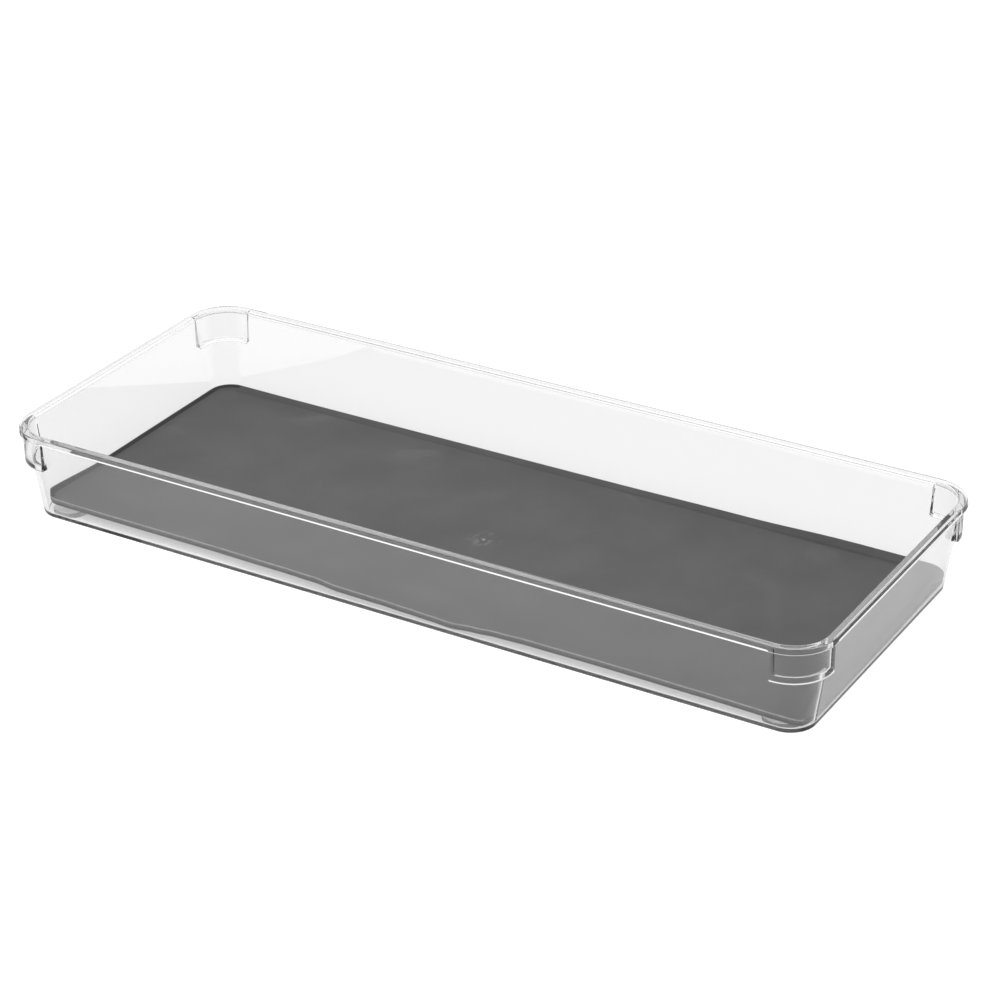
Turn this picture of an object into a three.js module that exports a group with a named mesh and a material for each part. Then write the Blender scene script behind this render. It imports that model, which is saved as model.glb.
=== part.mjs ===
// A drawer organizer insert: a clear moulded tray with a rounded rim, four stacking shoulders under
// the rim's corners, a loose foam rubber mat on its floor and four clear non-slip feet.
//
// Millimetres. +X runs along the tray's length and +Z points up. The origin is on the surface that
// the feet stand on, under the middle of the tray.
import * as THREE from "three";

// Driving dimensions of the tray.
const RIM_LENGTH = 380;
const RIM_WIDTH = 155.5;
const RIM_CORNER_RADIUS = 19.1;
const TRAY_HEIGHT = 40.6;
const FLOOR_THICKNESS = 1.2;
const WALL_THICKNESS = 1.9;
const WALL_SLOPE = 0.137; // how far the wall leans out for each millimetre that it rises
const BASE_INSET = 7.8; // from the rim's outer edge to the foot of the outer wall
const BASE_EDGE_RADIUS = 0.8;
const FLOOR_EDGE_RADIUS = 1;

// The rim is a flange that stands out past the wall all the way round.
const RIM_DEPTH = 2.4;
const RIM_TOP_RADIUS = 0.5;
const RIM_LOWER_RADIUS = 0.25;
const RIM_INNER_RADIUS = 0.6;

// A shoulder bulges out of the wall at each corner and ends below in a ledge, which another tray's
// rim can stop against. The inside of the wall is hollowed behind it.
const SHOULDER_INSET = 1.6;
const SHOULDER_LEDGE_HEIGHT = 24.6;
const SHOULDER_EDGE_RADIUS = 0.6;
const SHOULDER_REACH = 16.5; // along the rim, from the middle of the corner
const SHOULDER_SIDE_WIDTH = 0.6;
const RECESS_LEDGE_HEIGHT = 26.6;
const RECESS_INSET = 4.35;
const RECESS_REACH = 15;
const LEDGE_FALL = 0.1; // a ledge slopes a little, so that the tray leaves its mould

// The mat fills the floor from wall to wall and is only cut a little short along the front.
const MAT_THICKNESS = 3;
const MAT_EDGE_RADIUS = 1;
const MAT_CORNER_RADIUS = 9.5;
const MAT_INSET_END = 10;
const MAT_INSET_BACK = 10;
const MAT_INSET_FRONT = 14.2;
const MAT_CLEARANCE = 0.1;

// The feet are flat round pads, stuck under the corners of the floor.
const FOOT_HEIGHT = 0.8;
const FOOT_RADIUS = 8;
const FOOT_EDGE_RADIUS = 0.3;
const FOOT_INSET_END = 21;
const FOOT_INSET_SIDE = 18.5;

const QUARTER = Math.PI / 2;
const CORNER_STEPS = 12;
const ARC_STEPS = 3;
const FOOT_STEPS = 40;

const CLEAR_ACRYLIC = { color: 0xe9edee, roughness: 0.06, metalness: 0, transparent: true };
const FOAM_RUBBER = { color: 0x6c6d70, roughness: 0.85, metalness: 0 };
const CLEAR_RUBBER = { color: 0xdfe2e3, roughness: 0.3, metalness: 0, transparent: true };
const CLEAR_OPACITY = 0.35;

function mesh(name, geometry, finish) {
  const opacity = finish.transparent ? CLEAR_OPACITY : 1;
  const made = new THREE.Mesh(geometry, new THREE.MeshStandardMaterial({ ...finish, opacity }));
  made.name = name;
  return made;
}

const outerWallInset = (height) => BASE_INSET - WALL_SLOPE * height;
const innerWallInset = (height) =>
  outerWallInset(height) + WALL_THICKNESS * Math.hypot(1, WALL_SLOPE);
const mix = THREE.MathUtils.lerp;

// An arc of the cross-section, in quarter turns: 2 faces out of the tray and 3 faces down.
function sectionArc(inset, height, radius, from, to) {
  return Array.from({ length: ARC_STEPS + 1 }, (_, step) => {
    const angle = mix(from, to, step / ARC_STEPS) * QUARTER;
    return [inset + radius * Math.cos(angle), height + radius * Math.sin(angle)];
  });
}

// The wall's cross-section as [inset, height] points: from under the floor, up the outside, over the
// rim and down the inside to the floor. shoulder and recess are the share of each that shows here.
function crossSection(shoulder, recess) {
  const ledge = SHOULDER_LEDGE_HEIGHT;
  const rimBottom = TRAY_HEIGHT - RIM_DEPTH;
  const baseInset = outerWallInset(BASE_EDGE_RADIUS) + BASE_EDGE_RADIUS;
  const floorLine = FLOOR_THICKNESS + FLOOR_EDGE_RADIUS;
  const floorInset = innerWallInset(floorLine) + FLOOR_EDGE_RADIUS;
  const rimInner = innerWallInset(TRAY_HEIGHT);
  const rimCorner = rimInner - RIM_INNER_RADIUS;
  const outside = (height, inset) => [mix(outerWallInset(height), inset, shoulder), height];
  const inside = (height, inset) => [mix(innerWallInset(height), inset, recess), height];
  const recessTop = TRAY_HEIGHT - RIM_DEPTH;
  const edge = SHOULDER_EDGE_RADIUS;
  const ledgeEdge = sectionArc(SHOULDER_INSET + edge, ledge + edge, edge, 3, 2);
  return [
    ...sectionArc(baseInset, BASE_EDGE_RADIUS, BASE_EDGE_RADIUS, 3, 2),
    [outerWallInset(ledge - LEDGE_FALL), ledge - LEDGE_FALL],
    ...ledgeEdge.map(([inset, height]) => outside(height, inset)),
    outside(rimBottom, SHOULDER_INSET),
    ...sectionArc(RIM_LOWER_RADIUS, rimBottom + RIM_LOWER_RADIUS, RIM_LOWER_RADIUS, 3, 2),
    ...sectionArc(RIM_TOP_RADIUS, TRAY_HEIGHT - RIM_TOP_RADIUS, RIM_TOP_RADIUS, 2, 1),
    ...sectionArc(rimCorner, TRAY_HEIGHT - RIM_INNER_RADIUS, RIM_INNER_RADIUS, 1, 0),
    inside(recessTop, rimInner),
    inside(RECESS_LEDGE_HEIGHT + LEDGE_FALL, RECESS_INSET),
    [innerWallInset(RECESS_LEDGE_HEIGHT), RECESS_LEDGE_HEIGHT],
    ...sectionArc(floorInset, floorLine, FLOOR_EDGE_RADIUS, 2, 3),
  ];
}

// How far along the rim each cross-section of a corner stands from the corner's middle.
function cornerDistances() {
  const arcEnd = RECESS_REACH - SHOULDER_SIDE_WIDTH;
  const along = Array.from({ length: CORNER_STEPS + 1 }, (_, step) =>
    mix(-arcEnd, arcEnd, step / CORNER_STEPS),
  );
  const sides = [RECESS_REACH, SHOULDER_REACH - SHOULDER_SIDE_WIDTH, SHOULDER_REACH];
  return [...sides.map((side) => -side).reverse(), ...along, ...sides];
}

// A point of the rim's outer edge with the direction that faces out of the tray there.
function rimStation(turn, distance) {
  const halfArc = (RIM_CORNER_RADIUS * QUARTER) / 2;
  const onArc = THREE.MathUtils.clamp(distance, -halfArc, halfArc);
  const angle = turn * QUARTER + QUARTER / 2 + onArc / RIM_CORNER_RADIUS;
  const out = new THREE.Vector2(Math.cos(angle), Math.sin(angle));
  const along = new THREE.Vector2(-out.y, out.x);
  const middle = turn * QUARTER + QUARTER / 2;
  const centre = new THREE.Vector2(
    Math.sign(Math.cos(middle)) * (RIM_LENGTH / 2 - RIM_CORNER_RADIUS),
    Math.sign(Math.sin(middle)) * (RIM_WIDTH / 2 - RIM_CORNER_RADIUS),
  );
  const point = centre.addScaledVector(out, RIM_CORNER_RADIUS);
  point.addScaledVector(along, distance - onArc);
  return { point, out, distance: Math.abs(distance) };
}

const shareWithin = (reach, distance) =>
  THREE.MathUtils.clamp((reach - distance) / SHOULDER_SIDE_WIDTH, 0, 1);

// The tray is one skin of cross-sections all round the rim, closed by the floor's two faces.
function trayGeometry() {
  const positions = [];
  const faces = [];
  const rings = [];
  for (const turn of [0, 1, 2, 3]) {
    for (const step of cornerDistances()) {
      const { point, out, distance } = rimStation(turn, step);
      const shoulder = shareWithin(SHOULDER_REACH, distance);
      const recess = shareWithin(RECESS_REACH, distance);
      const ring = crossSection(shoulder, recess).map(([inset, height]) => {
        const at = point.clone().addScaledVector(out, -inset);
        positions.push(at.x, at.y, FOOT_HEIGHT + height);
        return positions.length / 3 - 1;
      });
      rings.push(ring);
    }
  }
  rings.forEach((ring, index) => {
    const next = rings[(index + 1) % rings.length];
    for (let step = 0; step + 1 < ring.length; step += 1) {
      faces.push(ring[step], next[step], next[step + 1]);
      faces.push(ring[step], next[step + 1], ring[step + 1]);
    }
  });
  const last = rings[0].length - 1;
  const corners = (at) =>
    rings.map((ring) => new THREE.Vector2(positions[3 * ring[at]], positions[3 * ring[at] + 1]));
  for (const [a, b, c] of THREE.ShapeUtils.triangulateShape(corners(last), [])) {
    faces.push(rings[a][last], rings[b][last], rings[c][last]);
  }
  for (const [a, b, c] of THREE.ShapeUtils.triangulateShape(corners(0), [])) {
    faces.push(rings[a][0], rings[c][0], rings[b][0]);
  }
  const geometry = new THREE.BufferGeometry();
  geometry.setAttribute("position", new THREE.Float32BufferAttribute(positions, 3));
  geometry.setIndex(faces);
  geometry.computeVertexNormals();
  return geometry;
}

function roundedRectangle(left, right, front, back, radius) {
  const shape = new THREE.Shape();
  shape.moveTo(left + radius, front);
  shape.lineTo(right - radius, front);
  shape.absarc(right - radius, front + radius, radius, -QUARTER, 0);
  shape.lineTo(right, back - radius);
  shape.absarc(right - radius, back - radius, radius, 0, QUARTER);
  shape.lineTo(left + radius, back);
  shape.absarc(left + radius, back - radius, radius, QUARTER, 2 * QUARTER);
  shape.lineTo(left, front + radius);
  shape.absarc(left + radius, front + radius, radius, 2 * QUARTER, 3 * QUARTER);
  return shape;
}

function linerMat() {
  const edge = MAT_EDGE_RADIUS;
  const outline = roundedRectangle(
    -RIM_LENGTH / 2 + MAT_INSET_END + edge,
    RIM_LENGTH / 2 - MAT_INSET_END - edge,
    -RIM_WIDTH / 2 + MAT_INSET_FRONT + edge,
    RIM_WIDTH / 2 - MAT_INSET_BACK - edge,
    MAT_CORNER_RADIUS - edge,
  );
  const geometry = new THREE.ExtrudeGeometry(outline, {
    depth: MAT_THICKNESS - 2 * edge,
    bevelThickness: edge,
    bevelSize: edge,
    bevelSegments: ARC_STEPS,
    curveSegments: CORNER_STEPS,
  });
  const mat = mesh("liner_mat", geometry, FOAM_RUBBER);
  mat.position.z = FOOT_HEIGHT + FLOOR_THICKNESS + MAT_CLEARANCE + edge;
  return mat;
}

function foot(name, side, end) {
  const profile = [
    new THREE.Vector2(0, 0),
    new THREE.Vector2(FOOT_RADIUS - FOOT_EDGE_RADIUS, 0),
    new THREE.Vector2(FOOT_RADIUS, FOOT_EDGE_RADIUS),
    new THREE.Vector2(FOOT_RADIUS, FOOT_HEIGHT),
    new THREE.Vector2(0, FOOT_HEIGHT),
  ];
  const geometry = new THREE.LatheGeometry(profile, FOOT_STEPS);
  geometry.rotateX(QUARTER);
  const pad = mesh(name, geometry, CLEAR_RUBBER);
  pad.position.x = end * (RIM_LENGTH / 2 - FOOT_INSET_END);
  pad.position.y = side * (RIM_WIDTH / 2 - FOOT_INSET_SIDE);
  return pad;
}

const organizer = new THREE.Group();
organizer.add(mesh("tray", trayGeometry(), CLEAR_ACRYLIC), linerMat());
for (const [sideName, side] of [["front", -1], ["back", 1]]) {
  for (const [endName, end] of [["left", -1], ["right", 1]]) {
    organizer.add(foot(`foot_${sideName}_${endName}`, side, end));
  }
}

export default organizer;
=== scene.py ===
# %% [markdown]
# # A clear drawer tray with a foam rubber mat
#
# The object is a long shallow tray, injection moulded from clear acrylic, with a loose sheet of
# dark grey foam rubber on its floor and four clear soft pads under its corners.
#
# Everything is in metres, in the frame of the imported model: +X runs along the tray, +Z points up,
# and the feet stand on the plane z = 0. The first cell loads that model. Its solids stay where they
# are and carry the motion, and the finer pieces made below stand in their places.

# %% Load the frame
import math

import bmesh
import bpy
from mathutils import Matrix, Vector, noise


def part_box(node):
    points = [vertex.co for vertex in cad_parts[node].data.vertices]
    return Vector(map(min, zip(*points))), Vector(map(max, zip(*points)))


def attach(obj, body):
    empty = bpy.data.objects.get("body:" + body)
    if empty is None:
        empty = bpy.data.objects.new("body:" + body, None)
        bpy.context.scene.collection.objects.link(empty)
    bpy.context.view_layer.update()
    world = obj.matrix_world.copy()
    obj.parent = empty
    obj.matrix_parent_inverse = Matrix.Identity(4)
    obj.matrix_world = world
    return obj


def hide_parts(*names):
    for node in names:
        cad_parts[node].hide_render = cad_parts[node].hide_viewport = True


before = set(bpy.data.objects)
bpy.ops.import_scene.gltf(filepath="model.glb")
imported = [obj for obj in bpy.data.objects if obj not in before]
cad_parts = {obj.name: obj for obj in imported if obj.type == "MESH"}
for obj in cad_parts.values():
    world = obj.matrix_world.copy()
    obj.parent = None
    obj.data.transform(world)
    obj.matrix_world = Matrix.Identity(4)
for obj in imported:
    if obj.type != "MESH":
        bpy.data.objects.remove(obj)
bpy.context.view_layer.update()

MM = 0.001

# %% [markdown]
# ## The camera
#
# A long lens held well back keeps the tray's long sides nearly parallel. The camera looks down on
# the tray from beyond its front right corner. Its place is worked out from an azimuth, an elevation
# and a distance, so that each of them can be changed by itself.

# %% Camera
AZIMUTH = math.radians(31.173)
ELEVATION = math.radians(27.816)
ROLL = math.radians(-0.696)
DISTANCE = 1248.63 * MM
FOCAL_LENGTH = 107.43  # millimetres on a 36 mm sensor
AIM_RIGHT = 7.639 * MM
AIM_UP = 18.222 * MM
FRAME_RISE = 1.4 * MM  # the lens is aimed from this far above the surface that the feet stand on


def make_camera():
    back = Vector(
        (
            math.sin(AZIMUTH) * math.cos(ELEVATION),
            -math.cos(AZIMUTH) * math.cos(ELEVATION),
            math.sin(ELEVATION),
        )
    )
    level_right = Vector((0, 0, 1)).cross(back).normalized()
    level_up = back.cross(level_right)
    right = level_right * math.cos(ROLL) + level_up * math.sin(ROLL)
    up = level_up * math.cos(ROLL) - level_right * math.sin(ROLL)
    data = bpy.data.cameras.new("camera")
    data.lens = FOCAL_LENGTH
    data.clip_start = 10 * MM
    camera = bpy.data.objects.new("camera", data)
    bpy.context.scene.collection.objects.link(camera)
    turn = Matrix((right, up, back)).transposed().to_4x4()
    place = back * DISTANCE + right * AIM_RIGHT + up * AIM_UP + Vector((0, 0, FRAME_RISE))
    camera.matrix_world = Matrix.Translation(place) @ turn
    bpy.context.scene.camera = camera
    print("camera at", [round(v, 3) for v in place])


make_camera()

# %% [markdown]
# ## Two helpers for node trees
#
# Colours are written as the hex values that a paint program shows, which are sRGB. The shader wants
# linear light, so one function converts them. A second one adds a node to any tree, sets what is
# special about it and links its inputs, which keeps each tree below a plain list of its nodes.


# %% Colour and node helpers
def linear(hex_colour, alpha=1.0):
    channels = [int(hex_colour[at:at + 2], 16) / 255 for at in (1, 3, 5)]
    light = [c / 12.92 if c <= 0.04045 else ((c + 0.055) / 1.055) ** 2.4 for c in channels]
    return (*light, alpha)


def add_node(tree, kind, inputs=(), **settings):
    """Adds a node. inputs pairs each socket's name or place with a value or with another output."""
    made = tree.nodes.new(kind)
    for name, value in settings.items():
        setattr(made, name, value)
    for socket, value in dict(inputs).items():
        if isinstance(value, bpy.types.NodeSocket):
            tree.links.new(value, made.inputs[socket])
        else:
            made.inputs[socket].default_value = value
    return made


print("the acrylic's tint in linear light:", [round(c, 3) for c in linear("#fdfdfd")[:3]])

# %% [markdown]
# ## The tray's cross-section
#
# The tray is one moulding with the same wall all the way round: a floor, a wall that leans out so
# that the part leaves its mould, and a flange for a rim. Only the corners differ. There the wall
# bulges out under the rim into a shoulder with a ledge below it, which stops a stacked tray, and
# the inside is hollowed behind the shoulder so that the plastic stays about as thick.
#
# So one cross-section is drawn twice, once for the plain wall and once for a corner, with the same
# number of points. Each corner of the outline has its own radius. Where the plain wall has no
# corner, its points lie evenly along the straight line instead. Two support points beside each arc
# keep the smooth shading of the arc from running out over the flat wall.

# %% Sizes of the tray
tray_low, tray_high = (Vector(corner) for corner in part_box("tray"))
RIM_LENGTH = tray_high.x - tray_low.x
RIM_WIDTH = tray_high.y - tray_low.y
TRAY_HEIGHT = tray_high.z - tray_low.z
TRAY_BOTTOM = tray_low.z
# Insets run inwards from the rim's outer edge, and heights upwards from the tray's underside.
RIM_CORNER_RADIUS = 19.1 * MM
FLOOR_THICKNESS = 1.2 * MM
WALL_THICKNESS = 1.9 * MM
WALL_SLOPE = 0.137
BASE_INSET = 7.8 * MM
RIM_DEPTH = 2.4 * MM
SHOULDER_INSET = 1.6 * MM
SHOULDER_LEDGE = 24.6 * MM
RECESS_INSET = 4.35 * MM  # to the face of the hollow behind a shoulder
RECESS_LEDGE = 26.6 * MM
LEDGE_FALL = 0.1 * MM
FLAT_INSET = 16 * MM  # where the swept section ends and the flat of the floor begins
SHOULDER_REACH = 16.2 * MM  # along the rim, from the middle of the corner
RECESS_REACH = 14.7 * MM
SIDE_WIDTH = 0.9 * MM  # over which the side of a shoulder or a hollow rises
BASE_RADIUS = 0.6 * MM  # round the outside of the foot of the wall
FLOOR_RADIUS = 1 * MM  # inside, where the wall runs into the floor
RIM_EDGE_RADIUS = 0.4 * MM
RIM_INNER_RADIUS = 0.8 * MM
RIM_LOWER_RADIUS = 0.2 * MM
RIM_DRAFT = 0.5 * MM  # how far the rim's outer face leans in from its bottom to its top
UNDER_RIM_RADIUS = 1 * MM
LEDGE_RADIUS = 0.5 * MM  # in the angle under the ledge, and where a hollow begins and ends
LEDGE_EDGE_RADIUS = 0.35 * MM
RECESS_EDGE_RADIUS = 0.6 * MM
LEDGE_POINT_RISE = 1.2 * MM  # keeps the plain wall's points for a ledge's two corners apart
RECESS_POINT_RISE = 1.6 * MM
ARC_STEPS = 7
SUPPORT_GAP = 0.15 * MM
WELD_DISTANCE = 0.005 * MM
print(f"tray {RIM_LENGTH / MM:.1f} x {RIM_WIDTH / MM:.1f} x {TRAY_HEIGHT / MM:.1f} mm")


def outer_inset(height):
    return BASE_INSET - WALL_SLOPE * height


def inner_inset(height):
    return outer_inset(height) + WALL_THICKNESS * math.hypot(1, WALL_SLOPE)


# %% Round the corners of an outline
def arc_points(before, corner, after, radius):
    """The arc that rounds one corner, with a support point on either side of it."""
    back_way = (before - corner).normalized()
    on_way = (after - corner).normalized()
    half = back_way.angle(on_way) / 2
    straight = half > math.radians(89)
    cut = radius if straight else radius / math.tan(half)
    points = [corner + back_way * (cut + SUPPORT_GAP)]
    if straight:
        points += [
            corner + back_way * cut * (1 - 2 * step / ARC_STEPS) for step in range(ARC_STEPS + 1)
        ]
    else:
        centre = corner + (back_way + on_way).normalized() * radius / math.sin(half)
        start = corner + back_way * cut - centre
        end = corner + on_way * cut - centre
        sweep = start.angle(end)
        for step in range(ARC_STEPS + 1):
            share = step / ARC_STEPS
            part = start * math.sin((1 - share) * sweep) + end * math.sin(share * sweep)
            points.append(centre + part / math.sin(sweep))
    return points + [corner + on_way * (cut + SUPPORT_GAP)]


def rounded_outline(corners):
    """corners are (point, radius) pairs. The first and the last are open ends and stay sharp."""
    points = [corners[0][0]]
    for (before, _), (corner, radius), (after, _) in zip(corners, corners[1:], corners[2:]):
        points += arc_points(before, corner, after, radius)
    return points + [corners[-1][0]]


# %% Draw the cross-section for the plain wall and for a corner
def section_corners(shoulder):
    """From under the floor, up the outside, over the rim and down the inside to the floor."""
    rim_bottom = TRAY_HEIGHT - RIM_DEPTH
    rim_inner = inner_inset(TRAY_HEIGHT)
    ledge_edge = SHOULDER_LEDGE + LEDGE_FALL
    recess_edge = RECESS_LEDGE + LEDGE_FALL
    recess_top = rim_bottom - RIM_DEPTH / 2
    ledge_rise, recess_rise = (0, 0) if shoulder else (LEDGE_POINT_RISE, RECESS_POINT_RISE)
    out = (lambda h: SHOULDER_INSET) if shoulder else outer_inset
    hollow = (lambda h: RECESS_INSET) if shoulder else inner_inset
    hollow_top = rim_inner if shoulder else inner_inset(recess_top)
    return [
        ((FLAT_INSET, 0), 0, 0),
        ((outer_inset(0), 0), BASE_RADIUS, 0),
        ((outer_inset(SHOULDER_LEDGE), SHOULDER_LEDGE), LEDGE_RADIUS, SHOULDER_REACH),
        ((out(ledge_edge + ledge_rise), ledge_edge + ledge_rise), LEDGE_EDGE_RADIUS, SHOULDER_REACH),
        ((out(rim_bottom), rim_bottom), UNDER_RIM_RADIUS, SHOULDER_REACH),
        ((0, rim_bottom), RIM_LOWER_RADIUS, 0),
        ((RIM_DRAFT, TRAY_HEIGHT), RIM_EDGE_RADIUS, 0),
        ((rim_inner, TRAY_HEIGHT), RIM_INNER_RADIUS, 0),
        ((hollow_top, recess_top), LEDGE_RADIUS, RECESS_REACH),
        ((hollow(recess_edge + recess_rise), recess_edge + recess_rise), RECESS_EDGE_RADIUS,
         RECESS_REACH),
        ((inner_inset(RECESS_LEDGE), RECESS_LEDGE), LEDGE_RADIUS, RECESS_REACH),
        ((inner_inset(FLOOR_THICKNESS), FLOOR_THICKNESS), FLOOR_RADIUS, 0),
        ((FLAT_INSET, FLOOR_THICKNESS), 0, 0),
    ]


def cross_section_mesh():
    plain = section_corners(shoulder=False)
    corner = section_corners(shoulder=True)
    plain_points = rounded_outline([(Vector(at), radius) for at, radius, _ in plain])
    corner_points = rounded_outline([(Vector(at), radius) for at, radius, _ in corner])
    per_corner = ARC_STEPS + 3
    reaches = [0.0] + [reach for *_, reach in plain[1:-1] for _ in range(per_corner)] + [0.0]
    mesh = bpy.data.meshes.new("tray_cross_section")
    points = [(at.x, at.y, 0) for at in plain_points]
    mesh.from_pydata(points, [(n, n + 1) for n in range(len(points) - 1)], [])
    wall = mesh.attributes.new("wall", "FLOAT_VECTOR", "POINT")
    wall.data.foreach_set("vector", [v for at in plain_points for v in (at.x, at.y, 0)])
    bulge = mesh.attributes.new("corner", "FLOAT_VECTOR", "POINT")
    bulge.data.foreach_set("vector", [v for at in corner_points for v in (at.x, at.y, 0)])
    reach = mesh.attributes.new("reach", "FLOAT", "POINT")
    reach.data.foreach_set("value", reaches)
    print("cross-section points:", len(plain_points), len(corner_points))
    return bpy.data.objects.new("tray_cross_section", mesh)


cross_section = cross_section_mesh()

# %% [markdown]
# ## Where the cross-sections stand
#
# Along the straight sides nothing changes, so two cross-sections there are enough. A corner needs
# many: evenly round its arc, and close together where the sides of the shoulder and of the hollow
# rise out of the wall. This cell lists their distances from the middle of a corner, once, as the
# vertices of a small mesh. The tree below places them at all four corners.


# %% Stations of one corner
ROUND_REACH = 13.6 * MM  # evenly spaced out to here
ROUND_COUNT = 30
FINE_REACH = 17.4 * MM  # closely spaced from there to here
FINE_COUNT = 25
LAST_STATIONS = (18.4 * MM, 26 * MM)


def station_mesh():
    middle = [ROUND_REACH * (2 * n / ROUND_COUNT - 1) for n in range(ROUND_COUNT + 1)]
    step = (FINE_REACH - ROUND_REACH) / FINE_COUNT
    side = [ROUND_REACH + step * (n + 1) for n in range(FINE_COUNT)] + list(LAST_STATIONS)
    distances = [-d for d in reversed(side)] + middle + side
    mesh = bpy.data.meshes.new("corner_stations")
    mesh.from_pydata([(d, 0, 0) for d in distances], [], [])
    print("cross-sections at each corner:", len(distances))
    return bpy.data.objects.new("corner_stations", mesh)


stations = station_mesh()

# %% [markdown]
# ## The tray's Geometry Nodes tree
#
# A wall swept round a rounded rectangle is a rule, so Geometry Nodes make it, and the sizes are
# inputs of the tree. It works in four steps.
#
# 1. A mesh line with a vertex for each station is bent into the rim's outline by a formula. Each
#    vertex stores its place, the way that faces out of the tray, and how far it is from its corner.
# 2. Curve to Mesh sweeps the cross-section round it, which only makes the faces.
# 3. Set Position puts each vertex where the formula says: the wall's section far from a corner, the
#    corner's section near one, and a smooth step between them that rounds the shoulder's sides.
# 4. The two open edges left in the floor are filled and welded on.


# %% Build the tray's tree
def group_with(name, sizes):
    tree = bpy.data.node_groups.new(name, "GeometryNodeTree")
    for label, kind in sizes:
        tree.interface.new_socket(label, in_out="INPUT", socket_type=kind)
    tree.interface.new_socket("Geometry", in_out="OUTPUT", socket_type="NodeSocketGeometry")
    tree.is_modifier = True
    return tree, add_node(tree, "NodeGroupInput").outputs


def maths(tree, operation, *values):
    node = add_node(tree, "ShaderNodeMath", dict(enumerate(values)), operation=operation)
    return node.outputs[0]


def vector_maths(tree, operation, *values):
    names = {"SCALE": (0, "Scale")}.get(operation, (0, 1))
    node = add_node(tree, "ShaderNodeVectorMath", dict(zip(names, values)), operation=operation)
    return node.outputs[0]


def combine(tree, x, y, z=0.0):
    return add_node(tree, "ShaderNodeCombineXYZ", {0: x, 1: y, 2: z}).outputs[0]


def store(tree, geometry, name, kind, value):
    node = add_node(
        tree,
        "GeometryNodeStoreNamedAttribute",
        {"Geometry": geometry, "Name": name, "Value": value},
        data_type=kind,
        domain="POINT",
    )
    return node.outputs[0]


def stored(tree, name, kind):
    node = add_node(
        tree, "GeometryNodeInputNamedAttribute", {"Name": name}, data_type=kind
    )
    return node.outputs[0]


def rim_line(tree, sizes):
    """The rim's outline as a closed curve, with what the sweep needs stored on it."""
    points = add_node(tree, "GeometryNodeObjectInfo", {0: sizes["Stations"]}).outputs["Geometry"]
    count = add_node(tree, "GeometryNodeAttributeDomainSize", {0: points}).outputs["Point Count"]
    total = maths(tree, "MULTIPLY", count, 4.0)
    line = add_node(tree, "GeometryNodeMeshLine", {"Count": total}).outputs[0]
    index = add_node(tree, "GeometryNodeInputIndex").outputs[0]
    turn = maths(tree, "FLOOR", maths(tree, "DIVIDE", maths(tree, "ADD", index, 0.5), count))
    in_corner = maths(tree, "SUBTRACT", index, maths(tree, "MULTIPLY", turn, count))
    place = add_node(tree, "GeometryNodeInputPosition").outputs[0]
    sample = add_node(
        tree,
        "GeometryNodeSampleIndex",
        {"Geometry": points, "Value": place, "Index": in_corner},
        data_type="FLOAT_VECTOR",
    ).outputs[0]
    along = add_node(tree, "ShaderNodeSeparateXYZ", {0: sample}).outputs[0]
    radius = sizes["Corner radius"]
    half_arc = maths(tree, "MULTIPLY", radius, math.pi / 4)
    on_arc = maths(tree, "MAXIMUM", maths(tree, "MINIMUM", along, half_arc),
                   maths(tree, "MULTIPLY", half_arc, -1.0))
    middle = maths(tree, "MULTIPLY_ADD", turn, math.pi / 2, math.pi / 4)
    angle = maths(tree, "ADD", middle, maths(tree, "DIVIDE", on_arc, radius))
    sine = maths(tree, "SINE", angle)
    cosine = maths(tree, "COSINE", angle)
    out = combine(tree, cosine, sine)
    tangent = combine(tree, maths(tree, "MULTIPLY", sine, -1.0), cosine)

    def centre(function, side):
        half = maths(tree, "SUBTRACT", maths(tree, "MULTIPLY", sizes[side], 0.5), radius)
        sign = maths(tree, "SIGN", maths(tree, function, middle))
        return maths(tree, "MULTIPLY", sign, half)

    point = combine(tree, centre("COSINE", "Rim length"), centre("SINE", "Rim width"))
    point = vector_maths(tree, "ADD", point, vector_maths(tree, "SCALE", out, radius))
    past_arc = maths(tree, "SUBTRACT", along, on_arc)
    point = vector_maths(tree, "ADD", point, vector_maths(tree, "SCALE", tangent, past_arc))
    line = store(tree, line, "out", "FLOAT_VECTOR", out)
    line = store(tree, line, "from_corner", "FLOAT", maths(tree, "ABSOLUTE", along))
    line = store(tree, line, "rim_point", "FLOAT_VECTOR", point)
    line = add_node(
        tree, "GeometryNodeSetPosition", {"Geometry": line, "Position": point}
    ).outputs[0]
    curve = add_node(tree, "GeometryNodeMeshToCurve", {"Mesh": line}).outputs[0]
    return add_node(tree, "GeometryNodeSetSplineCyclic", {0: curve, "Cyclic": True}).outputs[0]


def floor_face(tree, wall, height, low, high):
    """Fills the open edge of the wall between low and high. An open edge has only one face."""
    faces = add_node(tree, "GeometryNodeInputMeshEdgeNeighbors").outputs[0]
    is_open = maths(tree, "COMPARE", faces, 1.0, 0.5)
    place = add_node(tree, "GeometryNodeInputPosition").outputs[0]
    level = add_node(tree, "ShaderNodeSeparateXYZ", {0: place}).outputs[2]
    above = maths(tree, "GREATER_THAN", level, low)
    below = maths(tree, "LESS_THAN", level, high)
    chosen = maths(tree, "MULTIPLY", maths(tree, "MULTIPLY", above, below), is_open)
    edge = add_node(tree, "GeometryNodeMeshToCurve", {"Mesh": wall, "Selection": chosen}).outputs[0]
    face = add_node(tree, "GeometryNodeFillCurve", {"Curve": edge}, mode="NGONS").outputs[0]
    lift = combine(tree, 0.0, 0.0, height)
    return add_node(tree, "GeometryNodeTransform", {0: face, "Translation": lift}).outputs[0]


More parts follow.
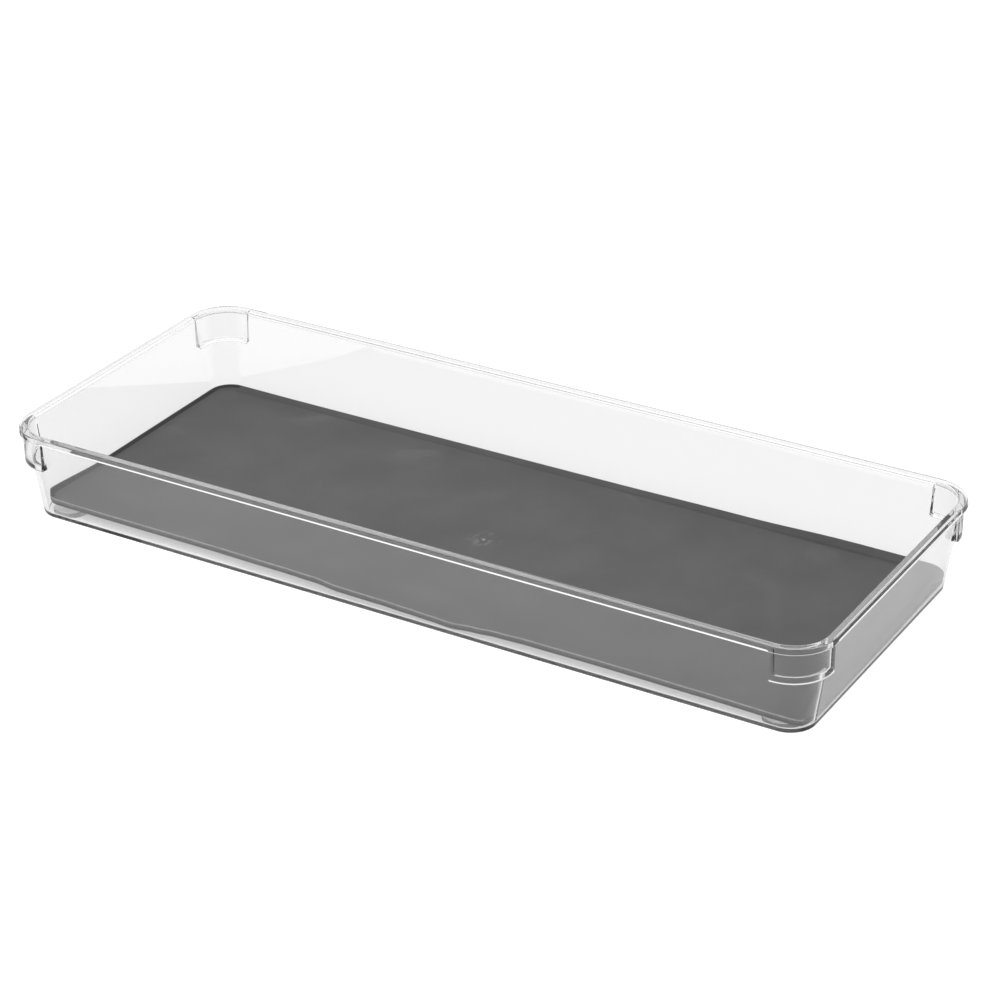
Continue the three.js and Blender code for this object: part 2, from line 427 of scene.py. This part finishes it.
def tray_tree():
    tree, sizes = group_with(
        "tray sweep",
        [
            ("Cross-section", "NodeSocketObject"),
            ("Stations", "NodeSocketObject"),
            ("Rim length", "NodeSocketFloat"),
            ("Rim width", "NodeSocketFloat"),
            ("Corner radius", "NodeSocketFloat"),
            ("Side width", "NodeSocketFloat"),
            ("Floor thickness", "NodeSocketFloat"),
            ("Bottom", "NodeSocketFloat"),
            ("Material", "NodeSocketMaterial"),
        ],
    )
    rim = rim_line(tree, sizes)
    section = add_node(tree, "GeometryNodeObjectInfo", {0: sizes["Cross-section"]})
    profile = add_node(tree, "GeometryNodeMeshToCurve", {"Mesh": section.outputs["Geometry"]})
    wall = add_node(
        tree, "GeometryNodeCurveToMesh", {"Curve": rim, "Profile Curve": profile.outputs[0]}
    ).outputs[0]

    reach = stored(tree, "reach", "FLOAT")
    half_side = maths(tree, "MULTIPLY", sizes["Side width"], 0.5)
    share = add_node(
        tree,
        "ShaderNodeMapRange",
        {
            "Value": stored(tree, "from_corner", "FLOAT"),
            "From Min": maths(tree, "SUBTRACT", reach, half_side),
            "From Max": maths(tree, "ADD", reach, half_side),
            "To Min": 1.0,
            "To Max": 0.0,
        },
        interpolation_type="SMOOTHSTEP",
    ).outputs[0]
    plain = stored(tree, "wall", "FLOAT_VECTOR")
    bulge = vector_maths(tree, "SUBTRACT", stored(tree, "corner", "FLOAT_VECTOR"), plain)
    section_point = vector_maths(tree, "ADD", plain, vector_maths(tree, "SCALE", bulge, share))
    parts = add_node(tree, "ShaderNodeSeparateXYZ", {0: section_point}).outputs
    inwards = maths(tree, "MULTIPLY", parts[0], -1.0)
    place = vector_maths(
        tree,
        "ADD",
        stored(tree, "rim_point", "FLOAT_VECTOR"),
        vector_maths(tree, "SCALE", stored(tree, "out", "FLOAT_VECTOR"), inwards),
    )
    level = maths(tree, "ADD", parts[1], sizes["Bottom"])
    place = vector_maths(tree, "ADD", place, combine(tree, 0.0, 0.0, level))
    wall = add_node(
        tree, "GeometryNodeSetPosition", {"Geometry": wall, "Position": place}
    ).outputs[0]

    half_floor = maths(tree, "MULTIPLY_ADD", sizes["Floor thickness"], 0.5, sizes["Bottom"])
    floor_top = maths(tree, "ADD", sizes["Floor thickness"], sizes["Bottom"])
    under = floor_face(tree, wall, sizes["Bottom"], -1.0, half_floor)
    over = floor_face(tree, wall, floor_top, half_floor, 1.0)
    under = add_node(tree, "GeometryNodeFlipFaces", {0: under}).outputs[0]
    joined = add_node(tree, "GeometryNodeJoinGeometry")
    for piece in (wall, under, over):
        tree.links.new(piece, joined.inputs[0])
    welded = add_node(
        tree, "GeometryNodeMergeByDistance", {0: joined.outputs[0], "Distance": WELD_DISTANCE}
    ).outputs[0]
    smooth = add_node(tree, "GeometryNodeSetShadeSmooth", {0: welded}).outputs[0]
    real = add_node(tree, "GeometryNodeRealizeInstances", {0: smooth}).outputs[0]
    made = add_node(tree, "GeometryNodeSetMaterial", {0: real, "Material": sizes["Material"]})
    add_node(tree, "NodeGroupOutput", {0: made.outputs[0]})
    return tree


# %% [markdown]
# ## From a node tree to a plain mesh
#
# A modifier's inputs are set by their identifiers, and all of them before the object is first
# evaluated. The evaluated result is then copied into an ordinary mesh and the modifier goes. The
# faces are turned outwards at the end, because filled curves can come out facing either way.


# %% Run a tree and keep its mesh
CLEAN_DISTANCE = 0.002 * MM
SWEEP_ATTRIBUTES = ("wall", "corner", "reach", "out", "from_corner", "rim_point")


def turn_outwards(mesh):
    work = bmesh.new()
    work.from_mesh(mesh)
    bmesh.ops.remove_doubles(work, verts=work.verts, dist=CLEAN_DISTANCE)
    bmesh.ops.recalc_face_normals(work, faces=work.faces)
    volume = work.calc_volume(signed=True)
    if volume < 0:
        bmesh.ops.reverse_faces(work, faces=work.faces)
    open_edges = sum(len(edge.link_faces) != 2 for edge in work.edges)
    work.to_mesh(mesh)
    work.free()
    for face in mesh.polygons:
        face.use_smooth = True
    print(f"{mesh.name}: {len(mesh.polygons)} faces, {abs(volume) / MM**3 / 1000:.1f} cm3,",
          f"{open_edges} open edges")


def bake_tree(name, tree, values):
    worker = bpy.data.objects.new("worker", bpy.data.meshes.new("worker"))
    bpy.context.scene.collection.objects.link(worker)
    modifier = worker.modifiers.new("shape", "NODES")
    modifier.node_group = tree
    for item in tree.interface.items_tree:
        if item.item_type == "SOCKET" and item.in_out == "INPUT":
            modifier[item.identifier] = values[item.name]
    bpy.context.view_layer.update()
    evaluated = worker.evaluated_get(bpy.context.evaluated_depsgraph_get())
    mesh = bpy.data.meshes.new_from_object(evaluated)
    worker.modifiers.remove(modifier)
    bpy.data.objects.remove(worker)
    mesh.name = name
    for attribute in SWEEP_ATTRIBUTES:
        if attribute in mesh.attributes:
            mesh.attributes.remove(mesh.attributes[attribute])
    turn_outwards(mesh)
    piece = bpy.data.objects.new(name, mesh)
    bpy.context.scene.collection.objects.link(piece)
    return piece


# %% [markdown]
# ## Clear moulded plastic
#
# The tray is acrylic, moulded in a polished tool, and almost as clear as glass. It bends light with
# an index of 1.49. The flat walls hardly show, but light that enters the rim is led down inside the
# wall and comes out at its foot, which draws the rim and the bottom edge as grey and white lines.
#
# Three things keep it from looking like a perfect solid. A faint swell in the surface, from the melt
# cooling against the mould, makes the reflections waver a little. The surface isn't quite sharp. And
# the plastic swallows a little light on the way, which greys the long paths inside the walls. Light
# from the lamps is let straight through, because a path tracer would otherwise leave the mat dark.


# %% Clear plastic and the tray's acrylic
def clear_plastic(name, tint, index, rough, swell_size, swell, absorb, density):
    material = bpy.data.materials.new(name)
    material.use_nodes = True
    tree = material.node_tree
    tree.nodes.clear()
    place = add_node(tree, "ShaderNodeTexCoord").outputs["Object"]
    ripple = add_node(
        tree,
        "ShaderNodeTexNoise",
        {"Vector": place, "Scale": 1 / swell_size, "Detail": 1.0, "Roughness": 0.4},
    )
    bump = add_node(
        tree,
        "ShaderNodeBump",
        {"Height": ripple.outputs[0], "Strength": 1.0, "Distance": swell},
    )
    plastic = add_node(
        tree,
        "ShaderNodeBsdfPrincipled",
        {
            "Base Color": tint,
            "IOR": index,
            "Roughness": rough,
            "Transmission Weight": 1.0,
            "Normal": bump.outputs[0],
        },
    )
    open_way = add_node(tree, "ShaderNodeBsdfTransparent", {"Color": tint})
    path = add_node(tree, "ShaderNodeLightPath")
    both = add_node(
        tree,
        "ShaderNodeMixShader",
        {0: path.outputs["Is Shadow Ray"], 1: plastic.outputs[0], 2: open_way.outputs[0]},
    )
    depth = add_node(tree, "ShaderNodeVolumeAbsorption", {"Color": absorb, "Density": density})
    add_node(
        tree,
        "ShaderNodeOutputMaterial",
        {"Surface": both.outputs[0], "Volume": depth.outputs[0]},
    )
    return material


acrylic = clear_plastic(
    "clear moulded acrylic",
    tint=linear("#fdfdfd"),
    index=1.49,
    rough=0.015,
    swell_size=35 * MM,
    swell=0.02 * MM,
    absorb=linear("#808080"),
    density=20.0,
)

# %% Make the tray
tray = bake_tree(
    "clear_tray",
    tray_tree(),
    {
        "Cross-section": cross_section,
        "Stations": stations,
        "Rim length": RIM_LENGTH,
        "Rim width": RIM_WIDTH,
        "Corner radius": RIM_CORNER_RADIUS,
        "Side width": SIDE_WIDTH,
        "Floor thickness": FLOOR_THICKNESS,
        "Bottom": TRAY_BOTTOM,
        "Material": acrylic,
    },
)
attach(tray, "tray")
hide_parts("tray")

# %% [markdown]
# ## The foam rubber mat
#
# The mat is a sheet of closed-cell foam rubber, 3 mm thick. It fills the floor from wall to wall,
# and where it meets the left, back and right walls its border is pushed a little way up them. Only
# its front edge was trimmed short with a knife. It wanders, and swells forward past the middle.
#
# It is built as rings round a spine. A spine is the line in the middle of the sheet, and each ring
# of points lies between it and the outline, so the faces stay regular right into the corners. The
# rings lie close together in the border, where the sheet bends.

# %% Outline of the mat
mat_low, mat_high = (Vector(corner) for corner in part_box("liner_mat"))
MAT_INSET = 9.55 * MM  # from the rim's outer edge to the mat, a hair inside the foot of the wall
MAT_BACK_RADIUS = RIM_CORNER_RADIUS - MAT_INSET
MAT_FRONT_RADIUS = 1 * MM
MAT_TOP_RADIUS = 0.45 * MM
MAT_LOWER_RADIUS = 1.1 * MM
MAT_OUTLINE_STEP = 1.6 * MM
MAT_SPINE_END = (mat_high.x - mat_low.x - mat_high.y + mat_low.y) / 2
MAT_CORNER_STEPS = 12
# The front edge, in millimetres: places along the mat, and how far forward of the middle it lies.
FRONT_EDGE = [(-177, 61.5), (-152, 61.8), (-100, 61.9), (-60, 62.5), (-42, 63.1), (-28, 64.8),
              (-8, 65.1), (4, 65.7), (16, 66.3), (26, 66.9), (36, 65.4), (46, 64.2), (60, 63.6),
              (92, 63.4), (136, 63.9), (177, 64.6)]


def between_places(places, x):
    """The value at x in a list of (x, value) pairs in millimetres, smooth between them."""
    along = min(max(x / MM, places[0][0]), places[-1][0])
    for (start, near), (end, far) in zip(places, places[1:]):
        if along <= end:
            share = (along - start) / (end - start)
            return (near + (far - near) * share * share * (3 - 2 * share)) * MM


def front_line(x):
    return -between_places(FRONT_EDGE, x)


def beside_corner(at, across):
    """A place's offset outwards from the middle of a rounded corner. across is its y or |y|."""
    return Vector((abs(at.x) - RIM_LENGTH / 2 + RIM_CORNER_RADIUS,
                   across - RIM_WIDTH / 2 + RIM_CORNER_RADIUS))


def inside_round(at):
    """Pulls a point of the outline back inside the rounded corner of the floor."""
    past = beside_corner(at, abs(at.y))
    if min(past) <= 0 or past.length <= MAT_BACK_RADIUS:
        return at
    pull = past.normalized() * (past.length - MAT_BACK_RADIUS)
    return Vector((at.x - math.copysign(pull.x, at.x), at.y - math.copysign(pull.y, at.y)))


def mat_outline():
    """Points round the mat, anticlockwise, each with the way that faces out there."""
    side, back = RIM_LENGTH / 2 - MAT_INSET, RIM_WIDTH / 2 - MAT_INSET
    corners = [(side, back, MAT_BACK_RADIUS), (-side, back, MAT_BACK_RADIUS),
               (-side, -back, MAT_FRONT_RADIUS), (side, -back, MAT_FRONT_RADIUS)]
    arcs = []
    for turn, (x, y, radius) in enumerate(corners):
        centre = Vector((x - math.copysign(radius, x), y - math.copysign(radius, y)))
        angles = [(turn + n / MAT_CORNER_STEPS) * math.pi / 2 for n in range(MAT_CORNER_STEPS + 1)]
        outs = [Vector((math.cos(angle), math.sin(angle))) for angle in angles]
        arcs.append([(centre + out * radius, out) for out in outs])
    points = []
    for arc, after in zip(arcs, arcs[1:] + arcs[:1]):
        start, out = arc[-1]
        end = after[0][0]
        stops = [start, end]
        if abs(out.y) > 0.5:
            spine_end = math.copysign(MAT_SPINE_END, start.x)
            stops = [start, Vector((spine_end, start.y)), Vector((-spine_end, start.y)), end]
        points += arc
        for near, far in zip(stops, stops[1:]):
            count = round((far - near).length / MAT_OUTLINE_STEP)
            points += [(near.lerp(far, n / count), out) for n in range(1, count + 1)]
        points.pop()
    moved = []
    for at, out in points:
        cut = back + front_line(at.x)
        moved.append((inside_round(at + Vector((0, cut * (min(at.y, 0) / back) ** 2))), out))
    return moved


# %% [markdown]
# The border's height along the back wall was different from place to place, so a second short list
# gives it. Each point of the sheet is lifted by the border's bend there and by a slow swell that
# the roll left in it, and the border leans with the wall. Two attributes go with the mesh for the
# foam's material: a highlight painted along the top of the knife cut, and shade painted where the
# border bends.

# %% Loft the mat
BORDER_CLIMB = [(-180, 0.8), (-140, 0.6), (18, 0.6), (90, 1.1), (135, 2.0), (180, 1.8)]
BORDER_WIDTH = 5 * MM
BORDER_STEPS = 14
SIDE_CLIMB = 0.45  # the share of the climb that is left towards the front of the right wall
LEFT_CORNER_CLIMB = 2.2 * MM  # more at the front left corner, where the border has sprung up
LEFT_CORNER_BEHIND = (0.4 * MM, 4 * MM)  # it starts and is full this far behind the cut
# Shade is painted dark where the border bends: how dark at the left and elsewhere, and in what band
# from the wall.
LEFT_SHADE_DEPTH = 1.0
BACK_SHADE_DEPTH = 0.25
LEFT_SHADE_BAND = (1.0 * MM, 2.2 * MM)
BACK_SHADE_BAND = (3.7 * MM, 4.5 * MM)
ROLL_SWELL = 0.12 * MM
ROLL_SIZE = Vector((90 * MM, 50 * MM))
MAT_RINGS = 30
EDGE_STEPS = 6
UNDER_RINGS = (0.7, 0.35, 0.0)
# The width of the band along the top of the knife cut that is painted paler as a highlight.
EDGE_HIGHLIGHT_WIDTH = 0.4 * MM


def smooth_share(value, low, high):
    share = min(max((value - low) / (high - low), 0.0), 1.0)
    return share * share * (3 - 2 * share)


def wall_gap(at):
    """How far a place lies inside the left, back and right walls."""
    past = beside_corner(at, at.y)
    outwards = Vector((max(past.x, 0), max(past.y, 0))).length + min(max(past.x, past.y), 0)
    return MAT_BACK_RADIUS - outwards


def border_lift(at):
    climb = between_places(BORDER_CLIMB, at.x)
    fall = smooth_share(at.y, 0.0, RIM_WIDTH / 3) if at.x > 0 else 1.0
    climb *= SIDE_CLIMB + (1 - SIDE_CLIMB) * fall
    if at.x < 0:
        behind_cut = smooth_share(at.y - front_line(at.x), *LEFT_CORNER_BEHIND)
        climb += LEFT_CORNER_CLIMB * behind_cut * smooth_share(-at.y, RIM_WIDTH / 8, RIM_WIDTH * 0.4)
    return climb * (1 - smooth_share(wall_gap(at), 0.0, BORDER_WIDTH))


def crease_shade_share(at):
    """How much painted shade this place gets: a broad dark band at the left where the border bends,
    a fine line elsewhere.
    """
    gap = wall_gap(at)
    left = at.x < -RIM_LENGTH / 2 + RIM_CORNER_RADIUS
    near, far = LEFT_SHADE_BAND if left else BACK_SHADE_BAND
    depth = LEFT_SHADE_DEPTH if left else BACK_SHADE_DEPTH
    soft = (far - near) / 2
    return depth * smooth_share(gap, near - soft, near) * (1 - smooth_share(gap, far, far + soft))


def roll_swell(at):
    return ROLL_SWELL * noise.noise(Vector((at.x / ROLL_SIZE.x, at.y / ROLL_SIZE.y, 0)))


def mat_rings():
    """Each ring: share of the way from the spine, inward reach, outward shift and height."""
    top, low = MAT_TOP_RADIUS, MAT_LOWER_RADIUS
    rings = [(n / MAT_RINGS, BORDER_WIDTH, -top, mat_high.z) for n in range(MAT_RINGS)]
    for n in range(BORDER_STEPS + 1):
        rings.append((1, BORDER_WIDTH * (1 - n / BORDER_STEPS), -top, mat_high.z))
    for n in range(1, EDGE_STEPS + 1):
        angle = n / EDGE_STEPS * math.pi / 2
        drop = top * (1 - math.cos(angle))
        rings.append((1, 0, top * (math.sin(angle) - 1), mat_high.z - drop))
    for n in range(EDGE_STEPS + 1):
        angle = n / EDGE_STEPS * math.pi / 2
        rise = low * (1 - math.sin(angle))
        rings.append((1, 0, low * (math.cos(angle) - 1), mat_low.z + rise))
    return rings + [(share, 0, -low, mat_low.z) for share in UNDER_RINGS]


def mat_mesh():
    outline = mat_outline()
    middle = (mat_high.y + mat_low.y) / 2
    verts, edge_highlight, crease_shade = [], [], []
    for share, inward, shift, level in mat_rings():
        height_share = (level - mat_low.z) / (mat_high.z - mat_low.z)
        for at, out in outline:
            spine = Vector((min(max(at.x, -MAT_SPINE_END), MAT_SPINE_END), middle))
            edge = at + out * shift
            spot = spine.lerp(edge + (spine - edge).normalized() * inward, share)
            lift = border_lift(spot) + (roll_swell(spot) - ROLL_SWELL) * height_share
            at_wall = 1 - smooth_share(wall_gap(spot), 0.0, BORDER_WIDTH)
            lean = WALL_SLOPE * (level + lift - mat_low.z) * at_wall * (1 - max(0.0, -out.y))
            verts.append((*(spot + out * lean), level + lift))
            # A pale band painted as a highlight along the top of the front cut edge.
            from_top = abs(mat_high.z - MAT_TOP_RADIUS / 3 - level)
            highlight_share = max(0.0, 1 - from_top / EDGE_HIGHLIGHT_WIDTH) * (share == 1) * (inward == 0)
            edge_highlight.append(highlight_share * max(0.0, -out.y))
            # Shade painted dark where the border bends, on the top faces only.
            crease_shade.append(crease_shade_share(spot) * (height_share == 1))
    count = len(outline)
    faces = []
    for start in range(0, len(verts) - count, count):
        for n in range(count):
            after = (n + 1) % count
            faces.append((start + n, start + count + n, start + count + after, start + after))
    mesh = bpy.data.meshes.new("foam_mat")
    mesh.from_pydata(verts, [], faces)
    mesh.attributes.new("edge_highlight", "FLOAT", "POINT").data.foreach_set("value", edge_highlight)
    mesh.attributes.new("crease_shade", "FLOAT", "POINT").data.foreach_set("value", crease_shade)
    turn_outwards(mesh)
    return mesh


# %% [markdown]
# ## Foam rubber
#
# The foam is a nitrile and vinyl blend with closed cells about half a millimetre wide, skived from
# a block, so its surface is matte with a very fine pebble. The pigment is carbon: a dark neutral
# grey, a little cloudy over a few centimetres, and specked where a cell was cut open. The cut cell
# walls give it a faint sheen at a low angle.
#
# A pale band is painted along the top of the knife cut as a highlight, read from a point attribute.
# Where the tray's moulding stub presses up from below there is a small dimple, a real dent that is
# also painted paler as a highlight, in a patch painted slightly paler as a highlight. The bend of
# the border is painted dark as shade.


# %% Foam rubber
FOAM_DARK = linear("#434343")
FOAM_LIGHT = linear("#4d4d4d")
# A pale grey used only to paint highlights: along the cut edge, and on the dimple and the patch
# round it.
FOAM_HIGHLIGHT_PAINT = linear("#b4b4b4")
# Near black, painted as shade where the border bends.
FOAM_CREASE_SHADE = linear("#080808")
CLOUD_SIZE = 28 * MM
CELL_SIZE = 0.55 * MM
GRAIN_SIZE = 0.9 * MM
# Over the moulding stub, a patch and a dimple are painted paler as a highlight. The dimple is also a
# real dent in the bump.
STUB_AT = Vector((2.3, -2.2, 0)) * MM
HIGHLIGHT_PATCH_RADIUS = 9 * MM
DIMPLE_RADIUS = 0.9 * MM


def mixed(tree, share, first, second):
    """A mix of two colours. The node keeps its colour sockets behind the ones for numbers."""
    node = add_node(tree, "ShaderNodeMix", {0: share, 6: first, 7: second}, data_type="RGBA")
    return node.outputs[2]


def ranged(tree, value, low, high, to_low, to_high):
    sockets = {0: value, 1: low, 2: high, 3: to_low, 4: to_high}
    return add_node(tree, "ShaderNodeMapRange", sockets).outputs[0]


def noise_node(tree, place, size, detail):
    return add_node(
        tree, "ShaderNodeTexNoise", {"Vector": place, "Scale": 1 / size, "Detail": detail}
    ).outputs[0]


def foam_rubber():
    material = bpy.data.materials.new("skived foam rubber")
    material.use_nodes = True
    tree = material.node_tree
    tree.nodes.clear()
    place = add_node(tree, "ShaderNodeTexCoord").outputs["Object"]
    cloud = noise_node(tree, place, CLOUD_SIZE, 5.0)
    grain = noise_node(tree, place, GRAIN_SIZE, 3.0)
    cells = add_node(tree, "ShaderNodeTexVoronoi", {"Vector": place, "Scale": 1 / CELL_SIZE})
    colour = mixed(tree, ranged(tree, cloud, 0.3, 0.7, 0.0, 1.0), FOAM_DARK, FOAM_LIGHT)
    speck = ranged(tree, grain, 0.3, 0.7, 0.93, 1.07)
    colour = vector_maths(tree, "SCALE", colour, speck)

    # A mottled patch round the stub, painted paler as a highlight.
    flat = vector_maths(tree, "MULTIPLY", place, (1, 1, 0))
    from_stub = add_node(
        tree, "ShaderNodeVectorMath", {0: flat, 1: STUB_AT}, operation="DISTANCE"
    ).outputs["Value"]
    highlight_mottle = ranged(tree, noise_node(tree, place, HIGHLIGHT_PATCH_RADIUS / 3, 3.0), 0.45, 0.65, 0.0, 0.22)
    highlight_patch = ranged(tree, from_stub, DIMPLE_RADIUS, HIGHLIGHT_PATCH_RADIUS, 1.0, 0.0)
    colour = mixed(tree, maths(tree, "MULTIPLY", highlight_patch, highlight_mottle), colour, FOAM_HIGHLIGHT_PAINT)
    # The dimple is a real dent in the bump, and it is also painted paler as a highlight.
    dimple = ranged(tree, from_stub, DIMPLE_RADIUS * 0.6, DIMPLE_RADIUS, 1.0, 0.0)
    colour = mixed(tree, maths(tree, "MULTIPLY", dimple, 0.5), colour, FOAM_HIGHLIGHT_PAINT)
    # The bend of the border is painted dark as shade.
    crease_shade = add_node(tree, "ShaderNodeAttribute", attribute_name="crease_shade").outputs["Fac"]
    colour = mixed(tree, crease_shade, colour, FOAM_CREASE_SHADE)
    # The top of the front cut edge is painted paler as a highlight, uneven with the grain.
    edge_highlight = add_node(tree, "ShaderNodeAttribute", attribute_name="edge_highlight").outputs["Fac"]
    highlight_grain = ranged(tree, grain, 0.3, 0.7, 0.5, 1.0)
    colour = mixed(tree, maths(tree, "MULTIPLY", edge_highlight, highlight_grain), colour, FOAM_HIGHLIGHT_PAINT)

    height = maths(tree, "MULTIPLY_ADD", cells.outputs["Distance"], 0.5, grain)
    height = maths(tree, "MULTIPLY_ADD", dimple, -4.0, height)
    bump = add_node(
        tree, "ShaderNodeBump", {"Height": height, "Strength": 0.35, "Distance": 0.08 * MM}
    )
    foam = add_node(
        tree,
        "ShaderNodeBsdfPrincipled",
        {
            "Base Color": colour,
            "Roughness": ranged(tree, grain, 0.0, 1.0, 0.62, 0.8),
            "IOR": 1.48,
            "Sheen Weight": 0.15,
            "Sheen Roughness": 0.5,
            "Normal": bump.outputs[0],
        },
    )
    add_node(tree, "ShaderNodeOutputMaterial", {"Surface": foam.outputs[0]})
    return material


# %% Make the mat
mat = bpy.data.objects.new("foam_mat", mat_mesh())
bpy.context.scene.collection.objects.link(mat)
mat.data.materials.append(foam_rubber())
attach(mat, "liner")
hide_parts("liner_mat")

# %% [markdown]
# ## The feet
#
# Four round pads of soft clear polyurethane are stuck under the corners. Each is a low drop that
# was cast on a sheet, so its edge is a round shoulder. One profile is spun into a pad, and the same
# pad is set at four points. A hair of air is left above and below each pad, because two faces in
# one plane confuse the light that passes through them.

# %% Feet by Geometry Nodes
FEET = ["foot_front_left", "foot_front_right", "foot_back_left", "foot_back_right"]
FOOT_AIR = 0.03 * MM
FOOT_SHOULDER = 0.45  # the round shoulder's radius, as a share of the pad's height
FOOT_PROFILE_STEPS = 8
FOOT_TOP_BEVEL = 0.05 * MM


def foot_profile():
    low, high = (Vector(corner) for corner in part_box(FEET[0]))
    radius = (high.x - low.x) / 2
    edge = (high.z - low.z) * FOOT_SHOULDER
    height = high.z - low.z - 2 * FOOT_AIR
    points = [(0.0, 0.0), (radius / 2, 0.0)]
    for n in range(FOOT_PROFILE_STEPS + 1):
        angle = math.pi / 2 * n / FOOT_PROFILE_STEPS
        points.append((radius - edge + edge * math.sin(angle), edge * (1 - math.cos(angle))))
    points += [(radius, height * 0.8), (radius - FOOT_TOP_BEVEL, height)]
    points += [(radius / 2, height), (0.0, height)]
    mesh = bpy.data.meshes.new("foot_profile")
    mesh.from_pydata([(x, -y, 0) for x, y in points], [(n, n + 1) for n in range(len(points) - 1)],
                     [])
    return bpy.data.objects.new("foot_profile", mesh)


def foot_points():
    places = []
    for name in FEET:
        low, high = (Vector(corner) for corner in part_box(name))
        places.append(((low.x + high.x) / 2, (low.y + high.y) / 2, low.z + FOOT_AIR))
    mesh = bpy.data.meshes.new("foot_places")
    mesh.from_pydata(places, [], [])
    return bpy.data.objects.new("foot_places", mesh)


def feet_tree():
    tree, sizes = group_with(
        "feet",
        [
            ("Profile", "NodeSocketObject"),
            ("Places", "NodeSocketObject"),
            ("Spin steps", "NodeSocketInt"),
            ("Material", "NodeSocketMaterial"),
        ],
    )
    profile = add_node(tree, "GeometryNodeObjectInfo", {0: sizes["Profile"]}).outputs["Geometry"]
    profile = add_node(tree, "GeometryNodeMeshToCurve", {"Mesh": profile}).outputs[0]
    circle = add_node(
        tree, "GeometryNodeCurvePrimitiveCircle",
        {"Resolution": sizes["Spin steps"], "Radius": 0.001 * MM},
    ).outputs[0]
    pad = add_node(
        tree, "GeometryNodeCurveToMesh", {"Curve": circle, "Profile Curve": profile}
    ).outputs[0]
    places = add_node(tree, "GeometryNodeObjectInfo", {0: sizes["Places"]}).outputs["Geometry"]
    points = add_node(tree, "GeometryNodeMeshToPoints", {0: places}).outputs[0]
    feet = add_node(
        tree, "GeometryNodeInstanceOnPoints", {"Points": points, "Instance": pad}
    ).outputs[0]
    real = add_node(tree, "GeometryNodeRealizeInstances", {0: feet}).outputs[0]
    made = add_node(tree, "GeometryNodeSetMaterial", {0: real, "Material": sizes["Material"]})
    add_node(tree, "NodeGroupOutput", {0: made.outputs[0]})
    return tree


polyurethane = clear_plastic(
    "clear cast polyurethane",
    tint=linear("#f6f6f6"),
    index=1.49,
    rough=0.08,
    swell_size=4 * MM,
    swell=0.01 * MM,
    absorb=linear("#808080"),
    density=40.0,
)
feet = bake_tree(
    "clear_feet",
    feet_tree(),
    {"Profile": foot_profile(), "Places": foot_points(), "Spin steps": 48,
     "Material": polyurethane},
)
print("feet box", [tuple(round(c / MM, 2) for c in corner) for corner in feet.bound_box][::6])
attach(feet, "tray")
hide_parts(*FEET)

# %% [markdown]
# ## The studio
#
# The tray stands on a light table: a wide white sheet that is lit from below as well as from above,
# which takes the shadow away from under a clear thing. A soft white tent lights it from all round.
# Clear plastic is seen only by what it bends into view, so the tent is darker near the horizon, as
# a real one is where the cloth stops. That gives the rim and the bottom edge their dark lines.


# %% The light table and the tent
SHEET_HALF_SIZE = 8.0
FLOOR_GLOW = 0.5
FLOOR_GLOW_SEEN = 0.25  # more glow for what the camera sees directly, so that the sheet looks white


def studio():
    size = SHEET_HALF_SIZE
    mesh = bpy.data.meshes.new("pale_floor")
    mesh.from_pydata([(-size, -size, 0), (size, -size, 0), (size, size, 0), (-size, size, 0)],
                     [], [(0, 1, 2, 3)])
    floor = bpy.data.objects.new("pale_floor", mesh)
    bpy.context.scene.collection.objects.link(floor)
    sheet = bpy.data.materials.new("lit white acrylic sheet")
    sheet.use_nodes = True
    tree = sheet.node_tree
    tree.nodes.clear()
    path = add_node(tree, "ShaderNodeLightPath")
    glow = maths(tree, "MULTIPLY_ADD", path.outputs["Is Camera Ray"], FLOOR_GLOW_SEEN, FLOOR_GLOW)
    shader = add_node(
        tree,
        "ShaderNodeBsdfPrincipled",
        {
            "Base Color": linear("#b4b4b4"),
            "Roughness": 0.9,
            "Specular IOR Level": 0.0,
            "Emission Color": linear("#ffffff"),
            "Emission Strength": glow,
        },
    )
    add_node(tree, "ShaderNodeOutputMaterial", {"Surface": shader.outputs[0]})
    mesh.materials.append(sheet)


TENT_LOW = (0.05, 0.25)  # how high a direction points, and how bright the cloth is there
TENT_HIGH = (0.45, 1.0)
TENT_STRENGTH = 1.2


def tent():
    world = bpy.data.worlds.new("tent")
    bpy.context.scene.world = world
    world.use_nodes = True
    tree = world.node_tree
    tree.nodes.clear()
    way = add_node(tree, "ShaderNodeTexCoord").outputs["Generated"]
    level = add_node(tree, "ShaderNodeSeparateXYZ", {0: way}).outputs[2]
    ramp = add_node(tree, "ShaderNodeValToRGB", {0: level})
    stops = ramp.color_ramp.elements
    for stop, (height, brightness) in zip(stops, (TENT_LOW, TENT_HIGH)):
        stop.position = height
        stop.color = (brightness, brightness, brightness, 1)
    cloth = add_node(
        tree, "ShaderNodeBackground", {"Color": ramp.outputs[0], "Strength": TENT_STRENGTH}
    )
    plain = add_node(tree, "ShaderNodeBackground", {"Color": linear("#ffffff"), "Strength": 1.0})
    path = add_node(tree, "ShaderNodeLightPath")
    both = add_node(
        tree, "ShaderNodeMixShader",
        {0: path.outputs["Is Camera Ray"], 1: cloth.outputs[0], 2: plain.outputs[0]},
    )
    add_node(tree, "ShaderNodeOutputWorld", {"Surface": both.outputs[0]})


studio()
tent()

# %% [markdown]
# Light that runs down inside a clear wall is reflected dozens of times before it comes out. Cycles
# counts each of those as a glossy bounce, and turns the path black at the limit, so the limits are
# set well above the usual ones.

# %% Colour and light paths
scene = bpy.context.scene
scene.view_settings.view_transform = "Standard"
scene.view_settings.look = "None"
scene.cycles.max_bounces = 64
scene.cycles.glossy_bounces = 56
scene.cycles.transmission_bounces = 32
scene.cycles.transparent_max_bounces = 24
